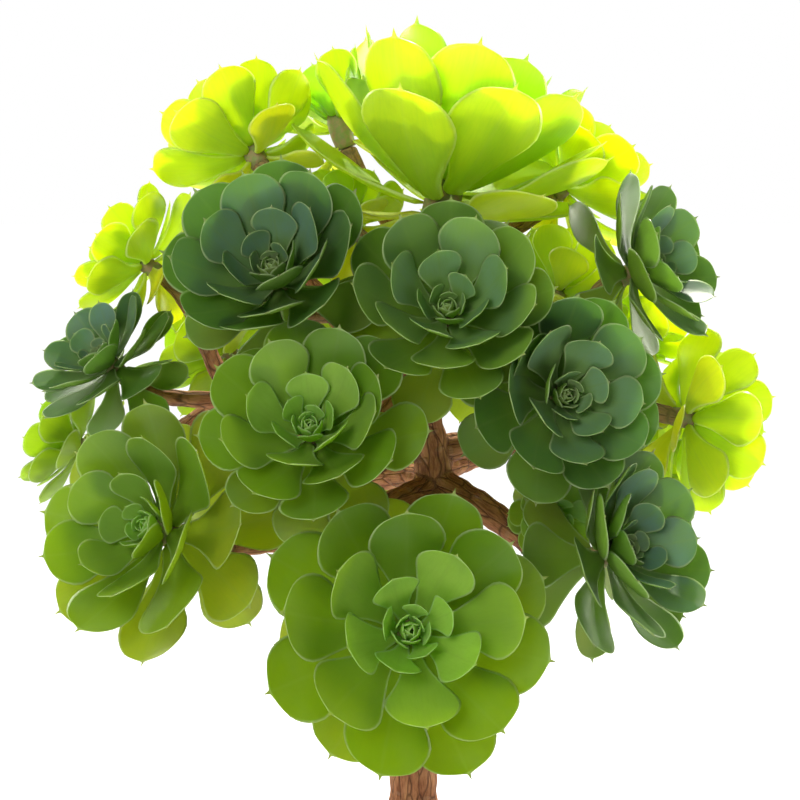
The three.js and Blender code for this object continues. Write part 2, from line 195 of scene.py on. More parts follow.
SoftLight = namedtuple("SoftLight", "name place power size colour")
SOFT_LIGHTS = [
    SoftLight("fill", (-0.8, -1.75, 1.5), 28, 1.1, (0.95, 0.98, 1.0)),
    SoftLight("left_glow", (-1.2, 0.9, 1.2), 25, 0.6, (1.0, 0.98, 0.9)),
    SoftLight("right_glow", (1.2, 0.75, 0.75), 22, 0.5, (1.0, 0.98, 0.9)),
]

# Floor

FLOOR_REACH = 20000
FLOOR_COLOUR = (0.88, 0.9, 0.97, 1)

# Stem

TRUNK_FOOT = 125
TRUNK_RADIUS = 17
TWIG_REACH_SHARE = 0.075
TWIG_RADIUS_BASE = 1.2
TWIG_OVERLAP = 1.5
TWIG_SWELL = 0.8
TWIG_LEAD_SHARE = 0.3
TWIG_ARRIVE_SHARE = 0.42
STEM_VOXEL = 1.7
STEM_SMOOTHING = 4
STEM_SIDES = 20
STEM_STEP = 4
SCAR_PITCH = 7.5
SCAR_RELIEF = 0.05
BARK_ROUGH = 0.02
COLLAR_SWELL = 0.22
COLLAR_LENGTH = 9
BULGE = 0.035
BULGE_TWIST = 23
SEED_SHIFT = 37
GREEN_END = 0.8

# The rule for a head: leaves from the oldest, lowest one inwards, a golden angle apart

GOLDEN_ANGLE = math.radians(137.508)
FULL_COUNT = 32
SOLID_COUNT = 21
BUD_COUNT = 4
NECK_SHARE = 0.15
NECK_SIDES = 24
NECK_BAND = 1.04
NECK_FIT = 0.93
NECK_AGES = (0, 0.15, 0.3, 0.45, 0.6, 0.8, 1)
NECK_POINT = 0.03
CORE_SHARE = 0.11
CORE_TAPER = 0.6
HEAD_DEPTH_SHARE = 0.2
DEPTH_POWER = 1.6
LEAF_WIDTH_SHARE = 0.66
SLIM_FROM = 70
SLIM_POWER = 0.3
LEAF_THICK_SHARE = 0.02
LEAF_THICK_BASE = 0.5
LEAF_THIN_YOUNG = 0.45
LEAF_CURL = 0.6
LEAF_DISH = 0.12
OLDEST_OPEN = 96
OPEN_POWER = 1.25
DROOP = 10
DROOP_FADE = 3
YOUNG_MIDDLE = 0.6
TALL_MIDDLE = 0.85
YOUNG_SPREAD = 0.1
LONGEST_SHARE = 0.89
SHORTEST_SHARE = 0.12
LEAST_OPEN = 4
BUD_LEAST_OPEN = -22
BUD_CLOSE = 5
BROAD_FROM = 0.45
YOUNG_BROAD = 0.4
YOUNG_DISH = 2
WOBBLE = {"open": 3, "turn": 4, "length": 0.05, "roll": 6}
WOBBLE_STEPS = {"head": 4.1, "leaf": 2.3, "kind": 1.7}

# Where a leaf would meet a neighbour it closes by so many degrees, to this share of its length. A solid leaf
# has the bend at which enough of its outer corners, by shares of its length and half width, are found

BEND_STEPS = [(0, 1), (6, 1), (12, 0.94), (16, 0.86), (18, 0.76), (20, 0.64)]
FOUND_WITHIN = 2.0
MARKS_FOUND = 3
SOLID_MARKS = [(0.77, -1), (0.77, 1), (0.94, -0.7), (0.94, 0.7), (1, 0)]

# The last leaves before they wither hang back from the neck, below the ones that the solids hold

SKIRT_COUNT = 7
SKIRT_DROOP = 9
SKIRT_LENGTH = 0.9
SKIRT_BENDS = [(0, 1), (-14, 1), (-26, 0.94), (12, 0.94), (0, 0.8), (-20, 0.74), (0, 0.6)]

# A blade by shares of its length: its outline is narrow at the root, widest past the middle and ends in a
# short point, and its depth thins towards that

OUTLINE = [
    (0, 0.2), (0.2, 0.33), (0.35, 0.5), (0.5, 0.74), (0.6, 0.91), (0.68, 1), (0.76, 0.99), (0.84, 0.91),
    (0.9, 0.78), (0.94, 0.63), (0.968, 0.44), (0.982, 0.26), (0.992, 0.11), (1, 0.045),
]
DEPTHS = [(0, 0.9), (0.36, 1), (0.7, 0.85), (0.91, 0.6), (1, 0.3)]
POINT_LENGTH = 0.05
POINT_DROP = 0.2
ROOT_SINK = 0.4
ROOT_RIM = 5
RIM_POWER = 5
RIPPLE = 0.022
RIPPLE_POWER = 2.5
RIPPLE_WAVES = 9
UNEVEN = 0.018
UNEVEN_WAVES = 11
LEAN = 0.02
DISH_FLAT = 0.35
DISH_POWER = 1.7
CREASE = 0.16
CREASE_WIDTH = 0.12
VEINS_APART = 10

# Rings of points go round a blade at these shares of its length, each with these shares of its half width

RING_SHARES = np.array([
    0.05, 0.13, 0.22, 0.32, 0.42, 0.52, 0.61, 0.69, 0.76,
    0.82, 0.87, 0.91, 0.94, 0.962, 0.977, 0.987, 0.995, 1.0,
])
TOP_SHARES = np.array([-1, -0.9, -0.66, -0.32, 0, 0.32, 0.66, 0.9, 1.0])

# Heads, as in the solids: name, root, facing (degrees from the front towards +X, and above level), reach,
# turn of the oldest leaf, sense of the spiral, how far the leaves open, the limb that carries the head, and
# for one whose inner leaves are tall, the age at which they shorten

Head = namedtuple("Head", "name root facing reach turn hand open limb middle", defaults=[YOUNG_MIDDLE])
HEADS = [
    Head("low_front", (-4, -150, 404), (5, 19), 84, 16, 1, 0.74, "front"),
    Head("mid_front", (18, -111, 569), (-1, 32), 65, 60, -1, 0.65, "crown"),
    Head("mid_left", (-55, -134, 506), (-6, 38), 66, 0, 1, 0.68, "shoulder"),
    Head("low_left", (-140, -89, 445), (-35, 22), 79, 200, -1, 0.74, "left"),
    Head("high_left", (-75, -92, 587), (-16, 39), 69, 127, 1, 0.62, "crown"),
    Head("mid_right", (78, -103, 526), (18, 11), 64, 250, -1, 0.68, "shoulder"),
    Head("low_right", (108, -96, 434), (45, 23), 68, 310, 1, 0.74, "right"),
    Head("top", (17, -13, 630), (110, 72), 110, 53, -1, 0.66, "crown", TALL_MIDDLE),
    Head("top_left", (-98, 14, 661), (-142, 42), 63, 20, -1, 0.72, "top_left"),
    Head("left", (-182, -17, 532), (-46, 44), 52, 75, 1, 0.84, "far_left"),
    Head("left_high", (-166, 21, 592), (-108, 32), 53, 170, -1, 0.84, "far_left"),
    Head("right_high", (132, -17, 590), (54, 23), 60, 40, 1, 0.73, "far_right"),
    Head("right", (170, 4, 498), (120, -12), 61, 220, -1, 0.8, "far_right"),
    Head("rear_far_left", (-217, 45, 474), (-97, 23), 46, 10, 1, 0.84, "far_left"),
    Head("rear_left", (-103, 133, 448), (-142, 10), 58, 140, -1, 0.85, "rear_left"),
    Head("rear_low", (-20, 143, 412), (-174, 12), 62, 80, 1, 0.8, "rear_left"),
    Head("rear_right", (150, 88, 455), (118, 8), 60, 290, 1, 0.82, "rear_right"),
    Head("rear_mid_right", (60, 132, 522), (158, 26), 62, 30, -1, 0.8, "rear_right"),
    Head("rear_mid", (-34, 132, 548), (-168, 28), 60, 230, -1, 0.8, "rear_crown"),
    Head("rear_mid_left", (-124, 96, 528), (-124, 20), 56, 100, 1, 0.85, "top_left"),
    Head("rear_top", (-46, 56, 676), (-100, 70), 70, 50, 1, 0.62, "rear_crown"),
    Head("rear_high_right", (98, 74, 640), (126, 42), 62, 190, -1, 0.8, "rear_crown"),
    Head("rear_far_right", (136, 60, 545), (114, 30), 54, 330, 1, 0.82, "far_right"),
    Head("under_right", (82, -58, 451), (10, -8), 30, 120, 1, 0.85, "right"),
    Head("rear_inner_right", (92, 30, 574), (148, 34), 48, 260, 1, 0.8, "far_right"),
    Head("rear_inner_left", (-38, 24, 616), (-150, 24), 46, 340, -1, 0.8, "crown"),
]

# Limbs of the stem, as in the solids: points along each and the radius at both ends

TRUNK = ([(0, 0, TRUNK_FOOT), (0, 0, 190), (2, 2, 300), (9, 3, 400), (14, 0, 462)], (TRUNK_RADIUS, 13))
LIMBS = {
    "shoulder": ([(14, 0, 452), (12, -2, 478), (6, -6, 505)], (12, 10)),
    "crown": ([(6, -6, 500), (2, 0, 530), (2, 4, 560)], (10, 8)),
    "front": ([(13, 0, 450), (10, -30, 436), (4, -66, 410)], (9, 7.5)),
    "left": ([(13, 0, 455), (-23, -32, 446), (-78, -58, 436)], (9.5, 7.5)),
    "right": ([(14, 0, 458), (42, -20, 446), (70, -44, 430)], (10, 8)),
    "far_left": ([(8, 0, 482), (-45, 6, 486), (-104, 10, 506)], (9, 7)),
    "far_right": ([(10, 0, 478), (48, 14, 484), (88, 16, 512)], (9, 7)),
    "top_left": ([(4, 2, 525), (-32, 16, 545), (-62, 30, 574)], (8, 6.5)),
    "rear_left": ([(12, 4, 458), (-8, 50, 452), (-42, 88, 438)], (9, 7.5)),
    "rear_right": ([(13, 3, 464), (36, 48, 464), (62, 78, 468)], (9, 7.5)),
    "rear_crown": ([(4, 2, 535), (6, 34, 560), (8, 56, 580)], (8, 7)),
}


# Mesh helpers


def mesh_object(name, points, faces, smooth=True):
    """A mesh object from millimetre points, in the row frame."""
    mesh = bpy.data.meshes.new(name)
    mesh.from_pydata((np.asarray(points, dtype=float) * MM).tolist(), [], faces)
    mesh.update()
    if smooth:
        mesh.shade_smooth()
    thing = bpy.data.objects.new(name, mesh)
    bpy.context.scene.collection.objects.link(thing)
    return thing


def add_attribute(thing, name, values, kind="FLOAT"):
    """One value or vector for each vertex, which the material reads by name."""
    attribute = thing.data.attributes.new(name, kind, "POINT")
    field = "vector" if kind == "FLOAT_VECTOR" else "value"
    attribute.data.foreach_set(field, np.asarray(values, dtype=np.float32).ravel())


def finish_piece(thing, slot, material, *nodes):
    """The piece stands for its CAD nodes, rides on the one body and has its finish."""
    thing.data.materials.append(material)
    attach(thing, BODY)
    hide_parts(*nodes)


def lathe(profile, sides):
    """Points and faces of a closed turned form, from a profile that starts and ends on the axis."""
    rings = []
    points = [(0.0, 0.0, profile[0][1])]
    for radius, height in profile[1:-1]:
        ring = []
        for side in range(sides):
            angle = 2 * math.pi * side / sides
            ring.append(len(points))
            points.append((radius * math.cos(angle), radius * math.sin(angle), height))
        rings.append(ring)
    last = len(points)
    points.append((0.0, 0.0, profile[-1][1]))
    faces = []
    for side in range(sides):
        after = (side + 1) % sides
        faces.append((0, rings[0][after], rings[0][side]))
        faces.append((last, rings[-1][side], rings[-1][after]))
        for low, high in zip(rings, rings[1:]):
            faces.append((low[side], low[after], high[after], high[side]))
    return points, faces


# Node helpers for the materials


class Nodes:
    """Short names for the shader nodes that the materials use."""

    def __init__(self, name):
        self.material = bpy.data.materials.new(name)
        self.material.use_nodes = True
        self.tree = self.material.node_tree
        self.shader = self.tree.nodes["Principled BSDF"]

    def link(self, source, target):
        self.tree.links.new(source, target)

    def attribute(self, name, output="Fac"):
        node = self.tree.nodes.new("ShaderNodeAttribute")
        node.attribute_name = name
        return node.outputs[output]

    def place(self):
        return self.tree.nodes.new("ShaderNodeTexCoord").outputs["Object"]

    def noise(self, vector, scale, detail, rough=0.5):
        node = self.tree.nodes.new("ShaderNodeTexNoise")
        node.inputs["Scale"].default_value = scale
        node.inputs["Detail"].default_value = detail
        node.inputs["Roughness"].default_value = rough
        self.link(vector, node.inputs["Vector"])
        return node.outputs["Fac"]

    def cells(self, vector, scale, feature="F1"):
        node = self.tree.nodes.new("ShaderNodeTexVoronoi")
        node.feature = feature
        node.inputs["Scale"].default_value = scale
        self.link(vector, node.inputs["Vector"])
        return node.outputs["Distance"]

    def maths(self, kind, first, second):
        node = self.tree.nodes.new("ShaderNodeMath")
        node.operation = kind
        for socket, value in zip(node.inputs, (first, second)):
            if isinstance(value, (int, float)):
                socket.default_value = value
            else:
                self.link(value, socket)
        return node.outputs[0]

    def times(self, first, second):
        return self.maths("MULTIPLY", first, second)

    def plus(self, first, second):
        return self.maths("ADD", first, second)

    def rest_of(self, share):
        return self.maths("SUBTRACT", 1, share)

    def scaled(self, vector, factors):
        node = self.tree.nodes.new("ShaderNodeVectorMath")
        node.operation = "MULTIPLY"
        self.link(vector, node.inputs[0])
        node.inputs[1].default_value = factors
        return node.outputs[0]

    def range(self, value, low, high, to_low=0.0, to_high=1.0):
        node = self.tree.nodes.new("ShaderNodeMapRange")
        node.interpolation_type = "SMOOTHSTEP"
        self.link(value, node.inputs["Value"])
        for name, number in (("From Min", low), ("From Max", high), ("To Min", to_low), ("To Max", to_high)):
            node.inputs[name].default_value = number
        return node.outputs[0]

    def mix(self, share, first, second):
        node = self.tree.nodes.new("ShaderNodeMix")
        node.data_type = "RGBA"
        for socket, value in zip((node.inputs[0], node.inputs[6], node.inputs[7]), (share, first, second)):
            if isinstance(value, (int, float)):
                socket.default_value = value
            elif isinstance(value, tuple):
                socket.default_value = (*value, 1)
            else:
                self.link(value, socket)
        return node.outputs[2]

    def layered(self, colour, *layers):
        """The colour with layers over it in turn. Each has the share that it covers and its own colour."""
        for share, over in layers:
            colour = self.mix(share, colour, over)
        return colour

    def bump(self, height, strength, distance):
        node = self.tree.nodes.new("ShaderNodeBump")
        node.inputs["Strength"].default_value = strength
        node.inputs["Distance"].default_value = distance
        self.link(height, node.inputs["Height"])
        return node.outputs["Normal"]

    def shine_through(self, colour, share):
        """Lets a share of the light pass through softly, in this colour, as a thin leaf does."""
        glow = self.tree.nodes.new("ShaderNodeBsdfTranslucent")
        blend = self.tree.nodes.new("ShaderNodeMixShader")
        blend.inputs[0].default_value = share
        self.link(colour, glow.inputs["Color"])
        self.link(self.shader.outputs[0], blend.inputs[1])
        self.link(glow.outputs[0], blend.inputs[2])
        self.link(blend.outputs[0], self.tree.nodes["Material Output"].inputs["Surface"])
        return self.material

    def set(self, **values):
        for name, value in values.items():
            socket = self.shader.inputs[name.replace("_", " ")]
            if isinstance(value, (int, float, tuple)):
                socket.default_value = value
            else:
                self.link(value, socket)
        return self.material


# Materials


def leaf_material():
    """Fleshy leaf: old leaves are olive, grown ones green, young ones and buds pale, all with pale margins.

    Light from behind shows through yellower. Young leaves and buds are painted lighter still, as painted
    light for a head's centre, and a painted sheen lies pale and bluish over the outer upper blades. Heads in
    shade get
    painted shade: bluer leaves that let less of the light through.
    """
    n = Nodes("leaf")
    marks = ("young", "along", "rim", "middle", "under", "tone", "painted_shade_blue", "painted_shade_dim")
    young, along, rim, middle, under, tone, painted_shade_blue, painted_shade_dim = (n.attribute(mark) for mark in marks)
    place = n.place()
    broad = n.noise(place, 38, 2)
    fine = n.noise(place, 420, 3)
    veins = n.noise(n.scaled(n.attribute("leaf_way", "Vector"), (0.12, 1, 1)), 700, 3, 0.6)
    upper = n.rest_of(under)
    grown = n.range(young, -0.12, 0.05)
    # Painted shade: a shaded head's leaves, bluer and darker, less dark towards the inner ones
    painted_shade_colour = n.mix(n.range(young, 0.25, 0.55), n.mix(tone, *PAINTED_SHADE_LEAF), PAINTED_SHADE_INNER)
    # Painted sheen: a pale wash in patches over the outer part of the upper blades
    pale_wash = n.times(n.range(along, 0.55, 0.9, 0, 0.45), n.range(broad, 0.35, 0.65))
    colour = n.layered(
        n.mix(tone, *OLD_LEAF),
        (grown, n.mix(tone, *GROWN_LEAF)),
        # Inner leaves and the bud: pale, with painted light over it
        (n.range(young, 0.3, 0.62), n.mix(tone, *INNER_LEAF_PAINTED_LIGHTER)),
        (n.times(painted_shade_blue, n.range(young, 0.05, 0.5, 0.3, 1)), painted_shade_colour),
        (n.range(young, 0.7, 0.9, 0, 0.9), BUD_PAINTED_LIGHTER),
        (n.range(broad, 0.42, 0.72, 0, 0.3), PATCH),
        (n.times(n.range(along, 0.7, 0.3, 0, 0.5), upper), UPPER_ROOT),
        (n.times(pale_wash, upper), PAINTED_SHEEN),
        (n.times(under, n.range(along, 0.6, 0.05, 0.6, 0.8)), UNDER_ROOT),
        (n.range(veins, 0.42, 0.7, 0, 0.14), VEIN),
        (n.range(middle, 0.09, 0.0, 0, 0.25), MIDRIB),
        (n.range(rim, 1.6, 0.4, 0, 0.85), MARGIN),
        (n.range(along, 0.99, 1.0, 0, 0.6), POINT),
        (n.range(fine, 0.35, 0.7, 0, 0.1), SPECK),
    )
    # Painted shade in the light through leaves, which spares the young leaves of heads in the open
    spared_from_painted_shade = n.times(n.range(young, 0.3, 0.6, 0, 0.6), n.rest_of(painted_shade_blue))
    glow = n.layered(
        OLD_GLOW,
        (grown, GROWN_GLOW),
        (n.range(young, 0.3, 0.7), INNER_GLOW),
        (n.range(veins, 0.4, 0.7, 0, 0.14), VEIN_GLOW),
        (n.times(painted_shade_dim, n.rest_of(spared_from_painted_shade)), PAINTED_SHADE_GLOW),
    )
    skin = n.plus(n.plus(n.times(fine, 0.4), n.noise(place, 1500, 2)), n.times(veins, 0.5))
    n.set(
        Base_Color=colour,
        Roughness=n.range(broad, 0.3, 0.7, 0.28, 0.4),
        Specular_IOR_Level=0.5,
        Normal=n.bump(skin, 0.15, 0.0005),
    )
    return n.shine_through(glow, LEAF_GLOW)


def neck_material():
    """The green twig end under the leaves, ringed by old leaf scars."""
    n = Nodes("neck")
    rings = n.noise(n.place(), 300, 3)
    colour = n.mix(n.range(rings, 0.35, 0.65), *NECK)
    return n.set(Base_Color=colour, Roughness=0.7, Normal=n.bump(rings, 0.4, 0.001))


def bark_material():
    """Orange-brown bark: fibres along it, dark cracks and paler leaf scars, greener on the youngest twigs."""
    n = Nodes("bark")
    way = n.attribute("bark_way", "Vector")
    green = n.attribute("bark_green")
    fibres = n.noise(n.scaled(way, (0.12, 1, 1)), 900, 6, 0.65)
    blotches = n.noise(n.scaled(way, (0.5, 1, 1)), 120, 3)
    scars = n.cells(n.scaled(way, (1.5, 0.8, 0.8)), 95)
    cracks = n.cells(n.scaled(way, (0.22, 1, 1)), 170, "DISTANCE_TO_EDGE")
    colour = n.layered(
        n.mix(n.range(fibres, 0.3, 0.7), *BARK),
        (n.range(blotches, 0.4, 0.7, 0, 0.6), BARK_BLOTCH),
        (n.range(scars, 0.32, 0.18, 0, 0.45), BARK_SCAR),
        (n.range(cracks, 0.07, 0.0, 0, 0.75), BARK_CRACK),
        (n.times(green, n.range(blotches, 0.3, 0.7, 0.5, 1)), BARK_GREEN),
    )
    ridges = n.times(n.range(cracks, 0.0, 0.12), 0.8)
    relief = n.plus(n.plus(fibres, ridges), n.range(scars, 0.35, 0.2, 0, 0.6))
    normal = n.bump(relief, 0.8, 0.0016)
    return n.set(Base_Color=colour, Roughness=0.82, Specular_IOR_Level=0.25, Normal=normal)


def soil_material():
    """Dark potting soil with browner crumbs."""
    n = Nodes("soil")
    crumbs = n.noise(n.place(), 260, 6, 0.7)
    colour = n.mix(n.range(crumbs, 0.35, 0.65), *SOIL)
    normal = n.bump(crumbs, 0.9, 0.003)
    return n.set(Base_Color=colour, Roughness=0.95, Specular_IOR_Level=0.15, Normal=normal)


def clay_material():
    """Unglazed clay: fine grain, faint turning lines and a slight paler bloom."""
    n = Nodes("clay")
    place = n.place()
    grain = n.noise(place, 900, 4, 0.6)
    cloud = n.noise(place, 16, 4, 0.6)
    pale_wash = n.noise(place, 45, 5, 0.65)
    lines = n.noise(n.scaled(place, (0.02, 0.02, 1)), 420, 2)
    colour = n.layered(
        n.mix(n.range(cloud, 0.35, 0.65), *CLAY),
        (n.range(grain, 0.45, 0.75, 0, 0.3), CLAY_GRAIN),
        (n.range(pale_wash, 0.55, 0.8, 0, 0.2), CLAY_BLOOM),
    )
    return n.set(
        Base_Color=colour,
        Roughness=n.range(cloud, 0.3, 0.7, 0.78, 0.9),
        Specular_IOR_Level=0.2,
        Normal=n.bump(n.plus(n.times(grain, 0.6), lines), 0.3, 0.0008),
    )


# Pot and soil


def inner_radius(height):
    """The pot's radius inside its tapered wall."""
    share = height / POT_HEIGHT
    return POT_BASE_RADIUS + (POT_RIM_RADIUS - RIM_BAND_STEP - POT_BASE_RADIUS) * share - POT_WALL


def rounded(centre, start, end):
    """Points on a rounded edge, from one angle to another, in degrees."""
    angles = [math.radians(start + (end - start) * step / EDGE_STEPS) for step in range(EDGE_STEPS + 1)]
    return [(centre[0] + EDGE_ROUND * math.cos(a), centre[1] + EDGE_ROUND * math.sin(a)) for a in angles]


def make_pot(material):
    band = POT_HEIGHT - RIM_BAND_HEIGHT
    rim_middle = POT_HEIGHT - EDGE_ROUND
    profile = [(0, 0)]
    profile += rounded((POT_BASE_RADIUS - EDGE_ROUND, EDGE_ROUND), -90, 0)
    profile += [(inner_radius(band * share) + POT_WALL, band * share) for share in OUTER_SHARES]
    profile += rounded((POT_RIM_RADIUS - EDGE_ROUND, band + EDGE_ROUND), -90, 0)
    profile += rounded((POT_RIM_RADIUS - EDGE_ROUND, rim_middle), 0, 90)
    profile += rounded((inner_radius(POT_HEIGHT) + EDGE_ROUND, rim_middle), 90, 180)
    profile += [(inner_radius(height), height) for height in INNER_HEIGHTS]
    profile += [(0, POT_FLOOR)]
    points, faces = lathe(profile, POT_SIDES)
    finish_piece(mesh_object("clay_pot", points, faces), "pot", material, "pot")


def soil_height(share, angle):
    """A low mound with waves that die out at the trunk and at the pot's wall."""
    first, second = (turns * angle + rings * share for turns, rings in SOIL_WAVES)
    waves = math.sin(first) * math.cos(second)
    return SOIL_TOP + SOIL_MOUND * (1 - share * share) + SOIL_RELIEF * waves * share * (1 - share) * 4


def add_crumb(points, faces, centre, size, draw):
    """Adds a rough little lump to the points and faces."""
    first = len(points)
    for layer, rise in enumerate(CRUMB_LAYERS):
        for side in range(4):
            angle = math.pi / 2 * side + CRUMB_TWIST * layer
            reach = size * draw.uniform(*CRUMB_REACH)
            height = size * rise * draw.uniform(*CRUMB_HEIGHT)
            x = centre[0] + reach * math.cos(angle)
            y = centre[1] + reach * math.sin(angle)
            points.append((x, y, centre[2] + height))
    for side in range(4):
        after = (side + 1) % 4
        faces.append((first + side, first + after, first + 4 + after, first + 4 + side))
    faces.append((first + 3, first + 2, first + 1, first))
    faces.append((first + 4, first + 5, first + 6, first + 7))


def make_soil(material):
    draw = random.Random(SOIL_SEED)
    hole = TRUNK_RADIUS + SEAT_GAP
    edge = inner_radius(SOIL_TOP) - SEAT_GAP
    floor = POT_FLOOR + SEAT_GAP
    profile = [(0, floor), (inner_radius(POT_FLOOR) - SEAT_GAP, floor)]
    profile += [(edge + (hole - edge) * ring / SOIL_RINGS, SOIL_TOP) for ring in range(SOIL_RINGS + 1)]
    profile += [(hole, TRUNK_FOOT - SEAT_GAP), (0, TRUNK_FOOT - SEAT_GAP)]
    points, faces = lathe(profile, SOIL_SIDES)
    lifted = []
    for x, y, z in points:
        if z == SOIL_TOP:
            share = min(max((math.hypot(x, y) - hole) / (edge - hole), 0), 1)
            grain = draw.uniform(-SOIL_GRAIN, SOIL_GRAIN) * min(1, FADE_AT_WALL * (1 - share))
            grain *= min(1, FADE_AT_TRUNK * share + GRAIN_AT_TRUNK)
            z = soil_height(share, math.atan2(y, x)) + grain
        lifted.append((x, y, z))
    for _ in range(CRUMB_COUNT):
        share = math.sqrt(draw.uniform(*CRUMB_SPREAD))
        angle = draw.uniform(0, 2 * math.pi)
        radius = hole + CRUMB_MARGIN + (edge - hole - 2 * CRUMB_MARGIN) * share
        size = CRUMB_SIZE + CRUMB_GROWTH * draw.random() ** 3
        height = soil_height(share, angle) + CRUMB_LIFT * size
        centre = (radius * math.cos(angle), radius * math.sin(angle), height)
        add_crumb(lifted, faces, centre, size, draw)
    finish_piece(mesh_object("potting_soil", lifted, faces), "soil", material, "soil")


# Stem: smooth curves, as in the solids, skinned as one body and given bark along its limbs


def through(points, step):
    """Evenly spaced places on a smooth curve through the points, as a centripetal spline."""
    points = [Vector(p) for p in points]
    points = [2 * points[0] - points[1], *points, 2 * points[-1] - points[-2]]
    places = []
    for a, b, c, d in zip(points, points[1:], points[2:], points[3:]):
        t1 = (b - a).length ** 0.5
        t2 = t1 + (c - b).length ** 0.5
        t3 = t2 + (d - c).length ** 0.5
        count = max(2, round((c - b).length / step))
        for index in range(count):
            t = t1 + (t2 - t1) * index / count
            ab = a.lerp(b, t / t1)
            bc = b.lerp(c, (t - t1) / (t2 - t1))
            cd = c.lerp(d, (t - t2) / (t3 - t2))
            early = ab.lerp(bc, t / t2)
            late = bc.lerp(cd, (t - t1) / (t3 - t1))
            places.append(early.lerp(late, (t - t1) / (t2 - t1)))
    places.append(points[-2])
    return places


def bezier(a, b, c, d, step):
    """Places on the curve that leaves a towards b and reaches d from c."""
    count = max(4, round((d - a).length / step))
    shares = [index / count for index in range(count + 1)]
    return [(1 - t) ** 3 * a + 3 * t * (1 - t) ** 2 * b + 3 * t * t * (1 - t) * c + t**3 * d for t in shares]


def head_frame(facing):
    """A head's own axis, and the ways to its right and upwards across it."""
    turn, lift = (math.radians(angle) for angle in facing)
    axis = Vector((math.sin(turn) * math.cos(lift), -math.cos(turn) * math.cos(lift), math.sin(lift)))
    right = Vector((0, 0, 1)).cross(axis).normalized()
    return axis, right, axis.cross(right)


def twig_radius(head):
    return TWIG_RADIUS_BASE + TWIG_REACH_SHARE * head.reach


def stem_runs():
    """Every run of the stem: its places and its radius at both ends."""
    runs = [(through(TRUNK[0], STEM_STEP), TRUNK[1])]
    runs += [(through(points, STEM_STEP), radii) for points, radii in LIMBS.values()]
    for head in HEADS:
        axis = head_frame(head.facing)[0]
        points, radii = LIMBS[head.limb]
        end = Vector(head.root) - axis * (NECK_SHARE * head.reach + SEAT_GAP)
        start = Vector(points[-1])
        lead = (start - Vector(points[-2])).normalized()
        span = (end - start).length
        start -= TWIG_OVERLAP * lead
        bend_out = start + TWIG_LEAD_SHARE * span * lead
        bend_in = end - TWIG_ARRIVE_SHARE * span * axis
        radius = twig_radius(head)
        places = bezier(start, bend_out, bend_in, end, STEM_STEP)
        runs.append((places, (min(radius + TWIG_SWELL, radii[1]), radius)))
    return runs


def skin_run(places, radii, points, faces, samples, seed):
    """A ringed tube along the places, with a collar where a limb leaves. It notes how the bark runs."""
    draw = random.Random(seed)
    normal = (places[1] - places[0]).orthogonal().normalized()
    rings = []
    travelled = 0.0
    for index, place in enumerate(places):
        tangent = (places[min(index + 1, len(places) - 1)] - places[max(index - 1, 0)]).normalized()
        normal = (normal - tangent * normal.dot(tangent)).normalized()
        beside = tangent.cross(normal)
        travelled += (place - places[index - 1]).length if index else 0
        share = index / (len(places) - 1)
        radius = radii[0] + (radii[1] - radii[0]) * share
        scar = SCAR_RELIEF * math.sin(travelled / SCAR_PITCH * math.pi)
        radius *= 1 + scar + draw.uniform(-BARK_ROUGH, BARK_ROUGH)
        radius *= 1 + COLLAR_SWELL * math.exp(-travelled / COLLAR_LENGTH) * (seed > 0)
        ring = []
        for side in range(STEM_SIDES):
            angle = 2 * math.pi * side / STEM_SIDES
            bulge = 1 + BULGE * math.sin(3 * angle + travelled / BULGE_TWIST + seed)
            ring.append(len(points))
            points.append(place + radius * bulge * (math.cos(angle) * normal + math.sin(angle) * beside))
        rings.append(ring)
        samples.append((place, normal.copy(), beside, travelled, seed, share))
    for low, high in zip(rings, rings[1:]):
        for side in range(STEM_SIDES):
            after = (side + 1) % STEM_SIDES
            faces.append((low[side], low[after], high[after], high[side]))
    faces.append(tuple(reversed(rings[0])))
    faces.append(tuple(rings[-1]))


def make_stem(material):
    """The runs skinned as one body, whose corners get the bark's way and greenness from the nearest ring."""
    points, faces, samples = [], [], []
    for seed, (places, radii) in enumerate(stem_runs()):
        skin_run(places, radii, points, faces, samples, seed)
    thing = mesh_object("branching_stem", points, faces)
    remesh = thing.modifiers.new("skin", "REMESH")
    remesh.mode = "VOXEL"
    remesh.voxel_size = STEM_VOXEL * MM
    smooth = thing.modifiers.new("ease", "SMOOTH")
    smooth.iterations = STEM_SMOOTHING
    skinned = bpy.data.meshes.new_from_object(thing.evaluated_get(bpy.context.evaluated_depsgraph_get()))
    thing.modifiers.clear()
    thing.data = skinned
    skinned.shade_smooth()

    tree = KDTree(len(samples))
    for index, sample in enumerate(samples):
        tree.insert(sample[0], index)
    tree.balance()
    ways, greens = [], []
    for vertex in skinned.vertices:
        spot = vertex.co / MM
        place, normal, beside, travelled, seed, share = samples[tree.find(spot)[1]]
        off = spot - place
        along = travelled + off.dot(normal.cross(beside))
        ways.append(((along + SEED_SHIFT * seed) * MM, off.dot(normal) * MM, off.dot(beside) * MM))
        greens.append(GREEN_END * share**3 if seed > len(LIMBS) else 0)
    add_attribute(thing, "bark_way", ways, "FLOAT_VECTOR")
    add_attribute(thing, "bark_green", greens)
    finish_piece(thing, "bark", material, "stem")


# Leaves


def along_table(table, shares):
    """The values at shares of a blade's length, between the table's points."""
    return np.interp(shares, [point[0] for point in table], [point[1] for point in table])


def head_depth(young):
    """How far up its head's axis a leaf of this age stands, as a share of the head's reach."""
    return HEAD_DEPTH_SHARE * (1 - (1 - min(young, 1)) ** DEPTH_POWER)


def core_share(young):
    """How thick the core is where a leaf of this age stands, as a share of the head's reach."""
    return CORE_SHARE * (1 - CORE_TAPER * min(max(young, 0), 1) ** 2)


